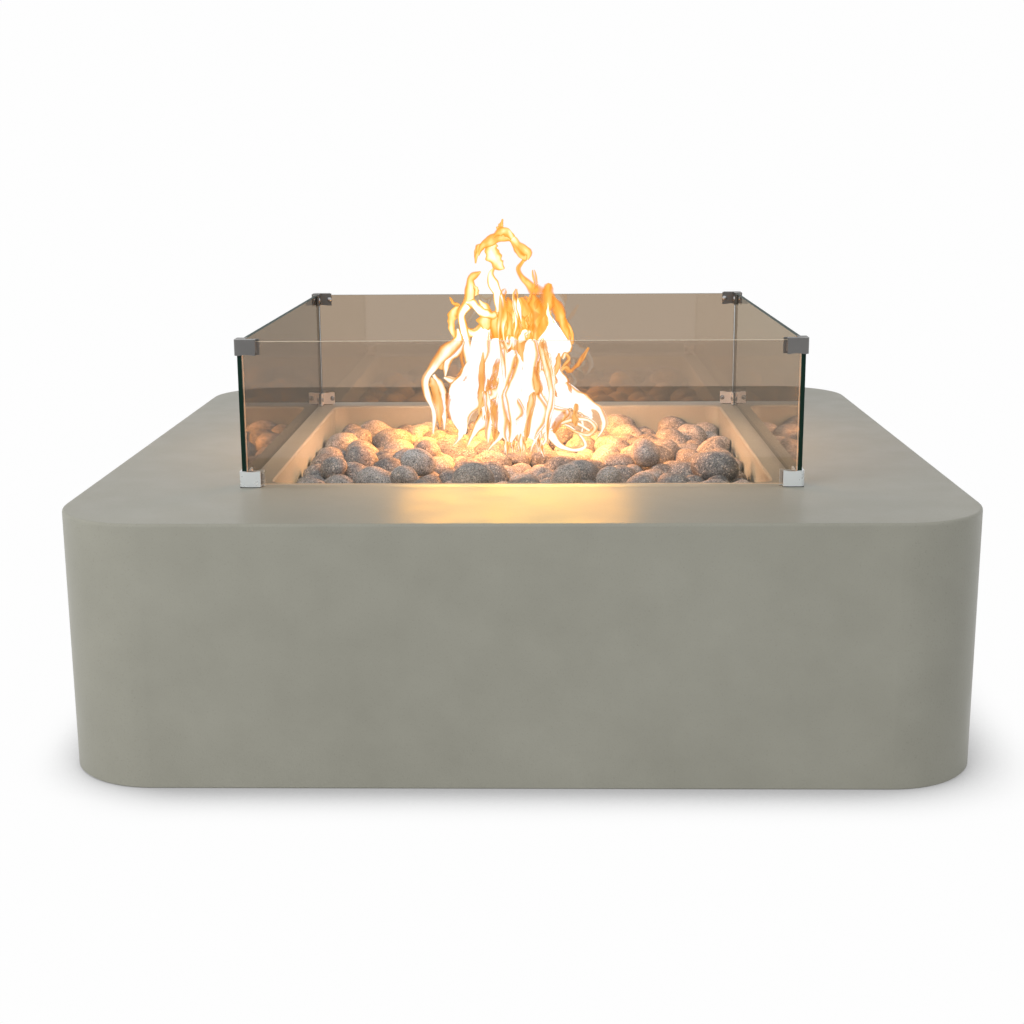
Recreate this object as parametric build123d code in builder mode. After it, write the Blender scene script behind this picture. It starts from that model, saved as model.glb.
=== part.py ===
from build123d import *

import os
from math import atan, degrees, radians, tan

# A square concrete gas fire table with a glass wind guard, in millimetres.
# The origin is the middle of the footprint on the floor: +X right, +Y back, +Z up.
# The controls are in the back wall, the vents in the side walls.

# ---------------------------------------------------------------- driving dimensions

# concrete body
body_width = 1219.2
body_depth = 1219.2
body_height = 355.6
corner_radius = 127.0
wall = 22.0
slab = 32.0
top_edge_radius = 4.0
foot_edge = 2.0

# burner well cast into the top, with a ledge that carries the pan
well_width = 710.0
well_length = 706.0
well_corner = 24.0
well_depth = 62.0
well_wall = 24.0
well_lip = 2.5
ledge = 22.0
ledge_thickness = 20.0

# burner pan
pan_sheet = 2.0
pan_depth = 55.0
pan_corner = 16.0
pan_gap = 3.0
flange_gap = 2.0
drain_radius = 6.0
drain_inset = 60.0

# H-burner
tube_radius = 9.5
burner_width = 240.0
burner_length = 300.0
burner_rise = 40.0
port_radius = 1.6
punch_sides = 8
port_pitch = 60.0
hub_radius = 15.0
leg_width = 24.0
leg_thickness = 3.0
leg_foot = 16.0
leg_inset = 24.0

# stones
stone_clearance = 0.5
stone_gap = 1.0
stone_top = 14.0
stone_shoulder = 16.0
stone_corner = 18.0

# gas train from the burner's hub down to the line
pipe_radius = 10.65
pipe_bore = 7.8
pipe_fit = 0.06
hub_socket = 20.0
locknut_across = 32.0
locknut_height = 7.0
nipple_showing = 7.6
mixer_across = 30.0
mixer_length = 44.0
mixer_socket = 14.0
mixer_bore = 6.5
air_hole_radius = 3.2
jet_radius = 5.5
jet_across = 17.0
jet_hex = 8.0
jet_stem = 10.0
jet_bore = 0.9
elbow_size = 24.0
line_radius = 6.35
line_bore = 5.0
line_stub = 9.0
line_nut_across = 22.0
line_nut_length = 14.0

# ignition point, between the burner's tubes
pilot_x = -60.0
pilot_y = 110.0
pilot_width = 46.0
pilot_length = 34.0
pilot_opening_width = 30.0
pilot_opening_length = 16.0
cage_width = 38.0
cage_length = 28.0
cage_height = 80.0
cage_sheet = 1.5
cage_slot_height = 30.0
probe_spacing = 16.0
probe_drop = 14.0
ceramic_radius = 3.5
ceramic_length = 62.0
tip_radius = 1.2
tip_length = 16.0
probe_radius = 3.0
probe_length = 72.0
sliding_fit = 0.05
ignition_lead_radius = 2.5
thermocouple_lead_radius = 1.6
lead_sides = 6

# control panel, a recessed box in the back wall
panel_sheet = 1.5
panel_width = 180.0
panel_height = 96.0
panel_depth = 36.0
panel_flange = 14.0
panel_corner = 6.0
panel_gap = 2.0
hole_gap = 0.3
rebate_depth = 4.7
rebate_gap = 1.0

# gas valve and its knob, in line with the burner's hub
valve_size = 44.0
valve_length = 46.0
valve_corner = 5.0
neck_radius = 9.0
neck_length = 9.0
neck_nut_across = 24.0
panel_nut_height = 5.0
chamber_radius = 10.0
chamber_length = 22.0
chamber_depth = 24.9
stem_radius = 4.0
stem_flat = 1.0
running_fit = 0.08
end_float = 0.3
collar_radius = 6.0
collar_thickness = 2.0
plunger_thickness = 5.0
spring_outer = 7.5
spring_inner = 6.5
spring_sides = 12
knob_radius = 20.0
knob_skirt = 9.0
knob_grip = 13.0
knob_height = 24.0
knob_chamfer = 1.2
knob_standoff = 12.0
knob_bore_depth = 17.0
pointer_width = 2.4
pointer_depth = 1.0
inlet_boss_radius = 14.0
inlet_boss_length = 16.0
inlet_socket = 14.0
inlet_neck_radius = 10.2
inlet_neck = 2.0
inlet_length = 40.0

# spark unit and its button, beside the knob
button_spacing = 60.0
barrel_radius = 11.0
barrel_length = 66.0
barrel_nut_across = 28.0
bezel_radius = 15.0
bezel_height = 2.5
button_radius = 8.5
button_length = 16.0
button_stand = 6.0
button_chamfer = 1.0
button_spring_outer = 7.0
button_spring_inner = 6.0
button_spring_length = 10.0

# vents in the side walls
vent_width = 240.0
vent_height = 60.0
vent_flange = 14.0
vent_centre_z = 110.0
vent_sheet = 2.0
vent_depth = 13.0
slat_pitch = 12.0
slat_depth = 13.0
slat_thickness = 1.5

# arch at the foot of the back wall for the supply hose
arch_width = 60.0
arch_height = 42.0

# glass wind guard
guard_side_margin = 39.0
guard_end_margin = 34.0
glass_height = 200.0
glass = 6.0
glass_joint = 1.0
clip_height = 22.0
clip_wall = 3.0
clip_floor = 2.0
clip_leg = 30.0
clip_reach = 4.0
clip_radius = 7.0
clip_end = 1.0
clip_scoop = 1.2
clip_scoop_start = 7.0
liner = 1.0
foot_pad = 1.2
foot_pad_inset = 1.0

# flame envelope: the radius at each share of its height
flame_height = 373.0
flame_radii = ((0.00, 142.0), (0.32, 132.0), (0.55, 84.0), (0.78, 44.0), (1.00, 9.0))
flame_sides = 10
flame_gap = 0.3

# ---------------------------------------------------------------- heights and places

top = body_height
ledge_z = top - well_depth
pan_hole_width = well_width - 2 * ledge
pan_hole_length = well_length - 2 * ledge
pan_inner_width = pan_hole_width - 2 * pan_gap - 2 * pan_sheet
pan_inner_length = pan_hole_length - 2 * pan_gap - 2 * pan_sheet
flange_top = ledge_z + pan_sheet
pan_floor = flange_top - pan_depth
burner_z = pan_floor + burner_rise
arm_x = burner_width / 2 - tube_radius
fill_top = burner_z + tube_radius + stone_clearance
bed_top = top - stone_top
flame_foot = bed_top + flame_gap
nipple_top = pan_floor + hub_socket
mixer_top = pan_floor - pan_sheet - locknut_height - nipple_showing
nipple_bottom = mixer_top - mixer_socket
mixer_bottom = mixer_top - mixer_length
line_z = mixer_bottom - jet_hex - elbow_size / 2
panel_centre_z = line_z
guard_width = well_width + 2 * guard_side_margin
guard_depth = well_length + 2 * guard_end_margin

# planes of the outer wall faces, seen from outside
back_face = Plane(origin=(0, body_depth / 2, 0), x_dir=(-1, 0, 0), z_dir=(0, 1, 0))
panel_seat = back_face.offset(-rebate_depth)
panel_face = panel_seat.offset(panel_sheet - panel_depth)
panel_middle = (button_spacing / 2, panel_centre_z)


def side_face(side):
    """The outer plane of the right (+1) or left (-1) wall, looking at it from outside."""
    return Plane(origin=(side * body_width / 2, 0, 0), x_dir=(0, side, 0), z_dir=(side, 0, 0))


def spot(plane, x, y):
    """The same plane with its origin moved to (x, y)."""
    return Plane(origin=plane.from_local_coords((x, y, 0)), x_dir=plane.x_dir, z_dir=plane.z_dir)


def corners(width, height):
    """The four corners of a rectangle round the origin."""
    return [(sx * width / 2, sy * height / 2) for sx in (-1, 1) for sy in (-1, 1)]


os.makedirs("parts", exist_ok=True)


def save(piece, label):
    """Names a finished piece and writes its STEP file."""
    piece.label = label
    export_step(piece, f"parts/{label}.step")


def hex_nut(seat, across, height, bore):
    """A hexagon nut standing on the plane seat."""
    with BuildPart() as nut:
        with BuildSketch(seat):
            RegularPolygon(across / 2, 6, major_radius=False)
            Circle(bore, mode=Mode.SUBTRACT)
        extrude(amount=height)
    return nut.part


def ring(seat, outer, inner, height):
    """A round tube standing on the plane seat."""
    with BuildPart() as tube:
        with BuildSketch(seat):
            Circle(outer)
            Circle(inner, mode=Mode.SUBTRACT)
        extrude(amount=height)
    return tube.part


def spring_sleeve(seat, outer, inner, height):
    """The space that a coil spring's turns fill, as a many-sided tube standing on the plane seat."""
    with BuildPart() as sleeve:
        with BuildSketch(seat):
            RegularPolygon(outer, spring_sides)
            RegularPolygon(inner, spring_sides, mode=Mode.SUBTRACT)
        extrude(amount=height)
    return sleeve.part


# ---------------------------------------------------------------- concrete body

with BuildPart() as concrete_shell:
    with BuildSketch():
        RectangleRounded(body_width, body_depth, corner_radius)
    extrude(amount=body_height)
    fillet(faces().sort_by(Axis.Z)[-1].edges(), top_edge_radius)
    chamfer(faces().sort_by(Axis.Z)[0].edges(), foot_edge)
    with BuildSketch():
        RectangleRounded(body_width - 2 * wall, body_depth - 2 * wall, corner_radius - wall)
    extrude(amount=body_height - slab, mode=Mode.SUBTRACT)

    # thickened rim round the well, with the ledge at its foot
    with BuildSketch(Plane.XY.offset(ledge_z - ledge_thickness)):
        RectangleRounded(
            well_width + 2 * well_wall, well_length + 2 * well_wall, well_corner + well_wall
        )
    extrude(amount=well_depth + ledge_thickness - slab)
    with BuildSketch(Plane.XY.offset(ledge_z)):
        RectangleRounded(well_width, well_length, well_corner)
    extrude(amount=well_depth, mode=Mode.SUBTRACT)
    chamfer(faces().sort_by(Axis.Z)[-1].inner_wires()[0].edges(), well_lip)
    with BuildSketch(Plane.XY.offset(ledge_z - ledge_thickness)):
        RectangleRounded(pan_hole_width, pan_hole_length, pan_corner + pan_sheet + pan_gap)
    extrude(amount=ledge_thickness, mode=Mode.SUBTRACT)

    # control panel: the opening and the rebate that its flange lies in
    for grow, depth in (
        (panel_sheet + panel_flange + rebate_gap, rebate_depth),
        (panel_sheet + panel_gap, wall),
    ):
        with BuildSketch(back_face):
            with Locations(panel_middle):
                Rectangle(panel_width + 2 * grow, panel_height + 2 * grow)
        extrude(amount=-depth, mode=Mode.SUBTRACT)

    # vents: the same in each side wall
    for side in (-1, 1):
        for grow, depth in ((vent_flange + rebate_gap, rebate_depth), (panel_gap, wall)):
            with BuildSketch(side_face(side)):
                with Locations((0, vent_centre_z)):
                    Rectangle(vent_width + 2 * grow, vent_height + 2 * grow)
            extrude(amount=-depth, mode=Mode.SUBTRACT)

    # arch for the supply hose
    with BuildSketch(back_face):
        SlotOverall(2 * arch_height, arch_width, rotation=90)
    extrude(amount=-wall, mode=Mode.SUBTRACT)
save(concrete_shell.part, "concrete_shell")

# ---------------------------------------------------------------- burner pan

with BuildPart() as burner_pan:
    with BuildSketch(Plane.XY.offset(ledge_z)):
        RectangleRounded(
            well_width - 2 * flange_gap, well_length - 2 * flange_gap, well_corner - flange_gap
        )
    extrude(amount=pan_sheet)
    with BuildSketch(Plane.XY.offset(pan_floor - pan_sheet)):
        RectangleRounded(
            pan_hole_width - 2 * pan_gap, pan_hole_length - 2 * pan_gap, pan_corner + pan_sheet
        )
    extrude(amount=pan_depth)
    with BuildSketch(Plane.XY.offset(pan_floor)):
        RectangleRounded(pan_inner_width, pan_inner_length, pan_corner)
    extrude(amount=pan_depth, mode=Mode.SUBTRACT)
    with BuildSketch(Plane.XY.offset(pan_floor - pan_sheet)):
        Circle(pipe_radius + hole_gap)
        with Locations(
            *corners(pan_inner_width - 2 * drain_inset, pan_inner_length - 2 * drain_inset)
        ):
            RegularPolygon(drain_radius, punch_sides)
        with Locations((pilot_x, pilot_y)):
            Rectangle(pilot_opening_width, pilot_opening_length)
    extrude(amount=pan_sheet, mode=Mode.SUBTRACT)
save(burner_pan.part, "burner_pan")

# ---------------------------------------------------------------- H-burner

arm_ports = int((burner_length - port_pitch) / port_pitch)
cross_ports = int((2 * arm_x - port_pitch) / port_pitch)

with BuildPart() as burner:
    for side in (-1, 1):
        with Locations((side * arm_x, 0, burner_z)):
            Cylinder(tube_radius, burner_length, rotation=(90, 0, 0))
    with Locations((0, 0, burner_z)):
        Cylinder(tube_radius, 2 * arm_x, rotation=(0, 90, 0))
        Cylinder(hub_radius, burner_rise, align=(Align.CENTER, Align.CENTER, Align.MAX))
    with BuildSketch(Plane.XY.offset(pan_floor)):
        Circle(pipe_radius + pipe_fit)
    extrude(amount=hub_socket, mode=Mode.SUBTRACT)
    with BuildSketch(Plane.XY.offset(burner_z)):
        for side in (-1, 1):
            with Locations((side * arm_x, 0)):
                with GridLocations(0, port_pitch, 1, arm_ports):
                    RegularPolygon(port_radius, punch_sides)
        with GridLocations(port_pitch, 0, cross_ports, 1):
            RegularPolygon(port_radius, punch_sides)
    extrude(amount=tube_radius, mode=Mode.SUBTRACT)
save(burner.part, "burner")

legs_at = corners(2 * arm_x, burner_length - 2 * leg_inset)
with BuildPart() as burner_legs:
    with BuildSketch(Plane.XY.offset(pan_floor)):
        with Locations(*legs_at):
            Rectangle(leg_width, leg_foot)
    extrude(amount=leg_thickness)
    with BuildSketch(Plane.XY.offset(pan_floor)):
        with Locations(*legs_at):
            Rectangle(leg_width, leg_thickness)
    extrude(amount=burner_rise - leg_thickness)
    for side in (-1, 1):
        with Locations((side * arm_x, 0, burner_z)):
            Cylinder(
                tube_radius + sliding_fit, burner_length, rotation=(90, 0, 0), mode=Mode.SUBTRACT
            )
save(burner_legs.part, "burner_legs")

# ---------------------------------------------------------------- rock fill and stones

with BuildPart() as lava_rock_fill:
    with BuildSketch(Plane.XY.offset(pan_floor)):
        Rectangle(pan_inner_width - 2 * stone_gap, pan_inner_length - 2 * stone_gap)
        chamfer(vertices(), stone_corner)
    extrude(amount=fill_top - pan_floor)
    groove = 2 * (tube_radius + stone_clearance)
    with BuildSketch(Plane.XY.offset(fill_top)):
        for side in (-1, 1):
            with Locations((side * arm_x, 0)):
                Rectangle(groove, burner_length + 2 * stone_clearance)
        Rectangle(2 * arm_x, groove)
    extrude(amount=-groove, mode=Mode.SUBTRACT)
    with BuildSketch(Plane.XY.offset(pan_floor)):
        Rectangle(2 * (hub_radius + stone_clearance), 2 * (hub_radius + stone_clearance))
        with Locations((pilot_x, pilot_y)):
            Rectangle(pilot_width + 2 * stone_clearance, pilot_length + 2 * stone_clearance)
        with Locations(*legs_at):
            Rectangle(leg_width + 2 * stone_clearance, leg_foot + 2 * stone_clearance)
    extrude(amount=fill_top - pan_floor, mode=Mode.SUBTRACT)
save(lava_rock_fill.part, "lava_rock_fill")

with BuildPart() as stone_bed:
    with BuildSketch(Plane.XY.offset(fill_top)):
        Rectangle(pan_inner_width - 2 * stone_gap, pan_inner_length - 2 * stone_gap)
        chamfer(vertices(), stone_corner)
    extrude(amount=bed_top - fill_top)
    with BuildSketch(Plane.XY.offset(flange_top + stone_clearance)):
        Rectangle(well_width - 2 * stone_gap, well_length - 2 * stone_gap)
        chamfer(vertices(), stone_corner)
    extrude(amount=bed_top - flange_top - stone_clearance)
    chamfer(faces().sort_by(Axis.Z)[-1].edges(), stone_shoulder)
    with BuildSketch(Plane.XY.offset(fill_top)):
        with Locations((pilot_x, pilot_y)):
            Rectangle(cage_width + 2 * stone_clearance, cage_length + 2 * stone_clearance)
    extrude(
        amount=pan_floor + pan_sheet + cage_height + stone_clearance - fill_top,
        mode=Mode.SUBTRACT,
    )
save(stone_bed.part, "stone_bed")

# ---------------------------------------------------------------- gas train from the hub down

save(
    ring(Plane.XY.offset(nipple_bottom), pipe_radius, pipe_bore, nipple_top - nipple_bottom),
    "burner_nipple",
)
save(
    hex_nut(
        Plane.XY.offset(pan_floor - pan_sheet - locknut_height),
        locknut_across,
        locknut_height,
        pipe_radius + pipe_fit,
    ),
    "burner_locknut",
)

with BuildPart() as air_mixer:
    with BuildSketch(Plane.XY.offset(mixer_bottom)):
        RegularPolygon(mixer_across / 2, 6, major_radius=False)
        Circle(mixer_bore, mode=Mode.SUBTRACT)
    extrude(amount=mixer_length)
    with BuildSketch(Plane.XY.offset(mixer_top)):
        Circle(pipe_radius + pipe_fit)
    extrude(amount=-mixer_socket, mode=Mode.SUBTRACT)
    with Locations((0, 0, (nipple_bottom + mixer_bottom) / 2)):
        Cylinder(air_hole_radius, 2 * mixer_across, rotation=(90, 0, 0), mode=Mode.SUBTRACT)
save(air_mixer.part, "air_mixer")

with BuildPart() as gas_orifice:
    with BuildSketch(Plane.XY.offset(mixer_bottom - jet_hex)):
        RegularPolygon(jet_across / 2, 6, major_radius=False)
    extrude(amount=jet_hex)
    with BuildSketch(Plane.XY.offset(mixer_bottom - jet_hex - jet_stem)):
        Circle(jet_radius)
    extrude(amount=jet_hex + 2 * jet_stem)
    with BuildSketch(Plane.XY.offset(mixer_bottom - jet_hex - jet_stem)):
        Circle(jet_bore)
    extrude(amount=jet_hex + 2 * jet_stem, mode=Mode.SUBTRACT)
save(gas_orifice.part, "gas_orifice")

# forged block: the jet screws in from above, the gas line comes in from the back
line_start = Plane(
    origin=(0, elbow_size / 2 + line_stub, line_z), x_dir=(-1, 0, 0), z_dir=(0, 1, 0)
)
with BuildPart() as burner_elbow:
    with Locations((0, 0, line_z)):
        Box(elbow_size, elbow_size, elbow_size)
    chamfer(edges().filter_by(Axis.Z), elbow_size / 12)
    with BuildSketch(line_start):
        Circle(line_radius)
    extrude(amount=-line_stub)
    with BuildSketch(line_start):
        Circle(line_bore)
    extrude(amount=-line_stub - elbow_size / 2, mode=Mode.SUBTRACT)
    with BuildSketch(Plane.XY.offset(line_z + elbow_size / 2)):
        Circle(jet_radius + pipe_fit)
    extrude(amount=-elbow_size / 2, mode=Mode.SUBTRACT)
save(burner_elbow.part, "burner_elbow")

# ---------------------------------------------------------------- control panel

button_at = (button_spacing, panel_centre_z)
knob_at = (0, panel_centre_z)

with BuildPart() as control_panel:
    with BuildSketch(panel_seat):
        with Locations(panel_middle):
            Rectangle(
                panel_width + 2 * (panel_sheet + panel_flange),
                panel_height + 2 * (panel_sheet + panel_flange),
            )
    extrude(amount=panel_sheet)
    with BuildSketch(panel_face.offset(-panel_sheet)):
        with Locations(panel_middle):
            RectangleRounded(
                panel_width + 2 * panel_sheet, panel_height + 2 * panel_sheet, panel_corner
            )
    extrude(amount=panel_depth + panel_sheet)
    with BuildSketch(panel_face):
        with Locations(panel_middle):
            RectangleRounded(panel_width, panel_height, panel_corner - panel_sheet)
    extrude(amount=panel_depth, mode=Mode.SUBTRACT)
    with BuildSketch(panel_face):
        with Locations(knob_at):
            Circle(neck_radius + hole_gap)
        with Locations(button_at):
            Circle(barrel_radius + hole_gap)
    extrude(amount=-panel_sheet, mode=Mode.SUBTRACT)
save(control_panel.part, "control_panel")

# ---------------------------------------------------------------- flame-safety gas valve

valve_at = spot(panel_face, *knob_at)
valve_back = valve_at.offset(-panel_sheet - valve_length)
chamber_floor = valve_at.offset(-panel_sheet - chamber_depth)
collar_back = chamber_length - end_float - collar_thickness
valve_under = Plane(
    origin=valve_at.offset(-panel_sheet - valve_length / 2).origin - Vector(0, 0, valve_size / 2),
    z_dir=(0, 0, -1),
)

with BuildPart() as valve_body:
    with BuildSketch(valve_back):
        Rectangle(valve_size, valve_size)
        chamfer(vertices(), valve_corner)
    extrude(amount=valve_length)
    with BuildSketch(valve_at.offset(-panel_sheet)):
        Circle(neck_radius)
    extrude(amount=neck_length)
    with BuildSketch(chamber_floor):
        Circle(chamber_radius)
    extrude(amount=chamber_length, mode=Mode.SUBTRACT)
    with BuildSketch(chamber_floor.offset(chamber_length)):
        Circle(stem_radius + running_fit)
    extrude(amount=chamber_depth - chamber_length + neck_length, mode=Mode.SUBTRACT)

    # outlet towards the burner and inlet underneath
    with BuildSketch(valve_back):
        Circle(line_radius)
    extrude(amount=-line_stub)
    with BuildSketch(valve_back.offset(-line_stub)):
        Circle(line_bore)
    extrude(amount=line_stub + pan_sheet, mode=Mode.SUBTRACT)
    with BuildSketch(valve_under):
        Circle(inlet_boss_radius)
    extrude(amount=inlet_boss_length)
    with BuildSketch(valve_under.offset(inlet_boss_length)):
        Circle(inlet_neck_radius + pipe_fit)
    extrude(amount=-inlet_socket, mode=Mode.SUBTRACT)
save(valve_body.part, "valve_body")

# the supply hose screws on to the wide end of the nipple
inlet_top = valve_under.offset(inlet_boss_length - inlet_socket)
with BuildPart() as inlet_nipple:
    with BuildSketch(inlet_top):
        Circle(inlet_neck_radius)
    extrude(amount=inlet_socket + inlet_neck)
    with BuildSketch(inlet_top.offset(inlet_socket + inlet_neck)):
        Circle(pipe_radius)
    extrude(amount=inlet_length)
    with BuildSketch(inlet_top):
        Circle(pipe_bore)
    extrude(amount=inlet_socket + inlet_neck + inlet_length, mode=Mode.SUBTRACT)
save(inlet_nipple.part, "inlet_nipple")
save(hex_nut(valve_at, neck_nut_across, panel_nut_height, neck_radius + sliding_fit), "valve_nut")

with BuildPart() as valve_plunger:
    with BuildSketch(chamber_floor.offset(collar_back - plunger_thickness)):
        Circle(chamber_radius - running_fit)
    extrude(amount=plunger_thickness)
save(valve_plunger.part, "valve_plunger")

save(
    spring_sleeve(chamber_floor, spring_outer, spring_inner, collar_back - plunger_thickness),
    "valve_spring",
)

knob_back = valve_at.offset(knob_standoff)
stem_length = chamber_depth - collar_back + panel_sheet + knob_standoff + knob_bore_depth - end_float

with BuildPart() as valve_stem:
    with BuildSketch(chamber_floor.offset(collar_back)):
        Circle(collar_radius)
    extrude(amount=collar_thickness)
    with BuildSketch(chamber_floor.offset(collar_back)):
        Circle(stem_radius)
    extrude(amount=stem_length)
    with BuildSketch(knob_back):
        with Locations((0, stem_radius)):
            Rectangle(2 * stem_radius, 2 * stem_flat)
    extrude(amount=knob_bore_depth, mode=Mode.SUBTRACT)
save(valve_stem.part, "valve_stem")

with BuildPart() as control_knob:
    with BuildSketch(knob_back):
        Circle(knob_radius)
    extrude(amount=knob_skirt)
    with BuildSketch(knob_back.offset(knob_skirt)):
        Circle(knob_radius)
        Rectangle(knob_grip, 2 * knob_radius, mode=Mode.INTERSECT)
    extrude(amount=knob_height - knob_skirt)
    chamfer(faces().sort_by(Axis.Y)[-1].edges(), knob_chamfer)
    with BuildSketch(knob_back):
        Circle(stem_radius + sliding_fit)
        with Locations((0, stem_radius + sliding_fit)):
            Rectangle(2 * stem_radius, 2 * stem_flat, mode=Mode.SUBTRACT)
    extrude(amount=knob_bore_depth, mode=Mode.SUBTRACT)
    with BuildSketch(knob_back.offset(knob_height)):
        with Locations((0, knob_radius / 2)):
            Rectangle(pointer_width, knob_radius)
    extrude(amount=-pointer_depth, mode=Mode.SUBTRACT)
save(control_knob.part, "control_knob")

# ---------------------------------------------------------------- gas line

save(
    ring(
        line_start, line_radius, line_bore, valve_back.origin.Y - line_stub - line_start.origin.Y
    ),
    "gas_line",
)
with BuildPart() as line_nuts:
    for seat in (line_start, valve_back.offset(-line_stub)):
        add(
            hex_nut(
                seat.offset(-line_nut_length / 2),
                line_nut_across,
                line_nut_length,
                line_radius + pipe_fit,
            )
        )
save(line_nuts.part, "line_nuts")

# ---------------------------------------------------------------- spark unit

igniter_at = spot(panel_face, *button_at)
igniter_back = igniter_at.offset(-barrel_length)
button_back = igniter_at.offset(bezel_height + button_stand - button_length)

with BuildPart() as igniter_body:
    with BuildSketch(igniter_back):
        Circle(barrel_radius)
    extrude(amount=barrel_length)
    with BuildSketch(igniter_at):
        Circle(bezel_radius)
    extrude(amount=bezel_height)
    with BuildSketch(igniter_at.offset(bezel_height)):
        Circle(button_radius + running_fit)
    extrude(amount=button_stand - button_length - button_spring_length, mode=Mode.SUBTRACT)
save(igniter_body.part, "igniter_body")

save(
    hex_nut(
        igniter_at.offset(-panel_sheet - panel_nut_height),
        barrel_nut_across,
        panel_nut_height,
        barrel_radius + sliding_fit,
    ),
    "igniter_nut",
)
save(
    spring_sleeve(
        button_back.offset(-button_spring_length),
        button_spring_outer,
        button_spring_inner,
        button_spring_length,
    ),
    "button_spring",
)

with BuildPart() as ignition_button:
    with BuildSketch(button_back):
        Circle(button_radius)
    extrude(amount=button_length)
    chamfer(faces().sort_by(Axis.Y)[-1].edges(), button_chamfer)
save(ignition_button.part, "ignition_button")

# ---------------------------------------------------------------- ignition point

pilot_base = Plane(origin=(pilot_x, pilot_y, pan_floor))
electrode_at = spot(pilot_base.offset(-probe_drop), -probe_spacing / 2, 0)
probe_at = spot(pilot_base.offset(-probe_drop), probe_spacing / 2, 0)

with BuildPart() as pilot_plate:
    with BuildSketch(pilot_base):
        Rectangle(pilot_width, pilot_length)
        with Locations((-probe_spacing / 2, 0)):
            Circle(ceramic_radius + sliding_fit, mode=Mode.SUBTRACT)
        with Locations((probe_spacing / 2, 0)):
            Circle(probe_radius + sliding_fit, mode=Mode.SUBTRACT)
    extrude(amount=pan_sheet)
save(pilot_plate.part, "pilot_plate")

# folded cage that keeps the stones off the electrode, open at the foot and through four slots
with BuildPart() as pilot_cage:
    with BuildSketch(pilot_base.offset(pan_sheet)):
        Rectangle(cage_width, cage_length)
    extrude(amount=cage_height)
    with BuildSketch(pilot_base.offset(pan_sheet)):
        Rectangle(cage_width - 2 * cage_sheet, cage_length - 2 * cage_sheet)
    extrude(amount=cage_height - cage_sheet, mode=Mode.SUBTRACT)
    with Locations((pilot_x, pilot_y, fill_top)):
        Box(
            cage_width,
            cage_length / 3,
            cage_slot_height,
            align=(Align.CENTER, Align.CENTER, Align.MAX),
            mode=Mode.SUBTRACT,
        )
        Box(
            cage_width / 3,
            cage_length,
            cage_slot_height,
            align=(Align.CENTER, Align.CENTER, Align.MAX),
            mode=Mode.SUBTRACT,
        )
save(pilot_cage.part, "pilot_cage")

with BuildPart() as electrode_ceramic:
    with BuildSketch(electrode_at):
        Circle(ceramic_radius)
    extrude(amount=ceramic_length)
save(electrode_ceramic.part, "electrode_ceramic")

with BuildPart() as electrode_tip:
    with BuildSketch(electrode_at.offset(ceramic_length)):
        Circle(tip_radius)
    extrude(amount=tip_length)
save(electrode_tip.part, "electrode_tip")

with BuildPart() as thermocouple:
    with BuildSketch(probe_at):
        Circle(probe_radius)
    extrude(amount=probe_length)
save(thermocouple.part, "thermocouple")

# ---------------------------------------------------------------- leads


def arc_radii(points):
    """An arc at each bend, as large as its two runs allow."""
    runs = [b - a for a, b in zip(points, points[1:])]
    return [
        0.45 * min(a.length, b.length) / tan(radians(a.get_angle(b)) / 2)
        for a, b in zip(runs, runs[1:])
    ]


def lead(name, radius, points):
    """A thin lead along straight runs joined by tangent arcs."""
    points = [Vector(*p) for p in points]
    radii = arc_radii(points)
    with BuildPart() as line:
        with BuildLine() as route:
            FilletPolyline(*points, radius=radii)
        with BuildSketch(Plane(origin=points[0], z_dir=points[1] - points[0])) as section:
            RegularPolygon(radius, lead_sides)
        sweep(path=route.wires()[0])
    length = route.wires()[0].length
    share = line.part.volume / (section.sketch.area * length)
    print(f"{name}: {length:.0f} mm, bends {[round(r) for r in radii]}, volume share {share:.4f}")
    save(line.part, name)


lead(
    "ignition_lead",
    ignition_lead_radius,
    [
        electrode_at.origin,
        electrode_at.origin - Vector(0, 0, 30),
        (-72, 150, 168),
        (-78, 214, 152),
        (-78, 282, 146),
        (-72, 350, 146),
        (-64, 416, 150),
        (igniter_back.origin.X, igniter_back.origin.Y - 36, line_z),
        igniter_back.origin,
    ],
)
plug = spot(valve_back, valve_size / 3, valve_size / 3).origin
lead(
    "thermocouple_lead",
    thermocouple_lead_radius,
    [
        probe_at.origin,
        probe_at.origin - Vector(0, 0, 28),
        (-50, 144, 176),
        (-46, 200, 168),
        (-41, 258, 166),
        (-36, 316, 168),
        (-30, 374, 172),
        (-22, 430, 175),
        plug - Vector(0, 40, 0),
        plug,
    ],
)

# ---------------------------------------------------------------- vents

slat_count = int(vent_height / slat_pitch)
for side, name in ((-1, "vent_left"), (1, "vent_right")):
    seat = side_face(side).offset(-rebate_depth)
    with BuildPart() as vent:
        with BuildSketch(seat):
            with Locations((0, vent_centre_z)):
                Rectangle(vent_width + 2 * vent_flange, vent_height + 2 * vent_flange)
        extrude(amount=vent_sheet)
        with BuildSketch(seat):
            with Locations((0, vent_centre_z)):
                Rectangle(vent_width, vent_height)
        extrude(amount=-vent_depth)
        with BuildSketch(seat.offset(vent_sheet)):
            with Locations((0, vent_centre_z)):
                Rectangle(vent_width - 2 * vent_sheet, vent_height - 2 * vent_sheet)
        extrude(amount=-vent_depth - vent_sheet, mode=Mode.SUBTRACT)
        for row in range(slat_count):
            slat_x = side * (body_width / 2 - rebate_depth - vent_depth / 2)
            slat_z = vent_centre_z + (row - (slat_count - 1) / 2) * slat_pitch
            with Locations((slat_x, 0, slat_z)):
                Box(slat_thickness, vent_width, slat_depth, rotation=(0, -side * 45, 0))
    save(vent.part, name)

# ---------------------------------------------------------------- glass wind guard

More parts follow.
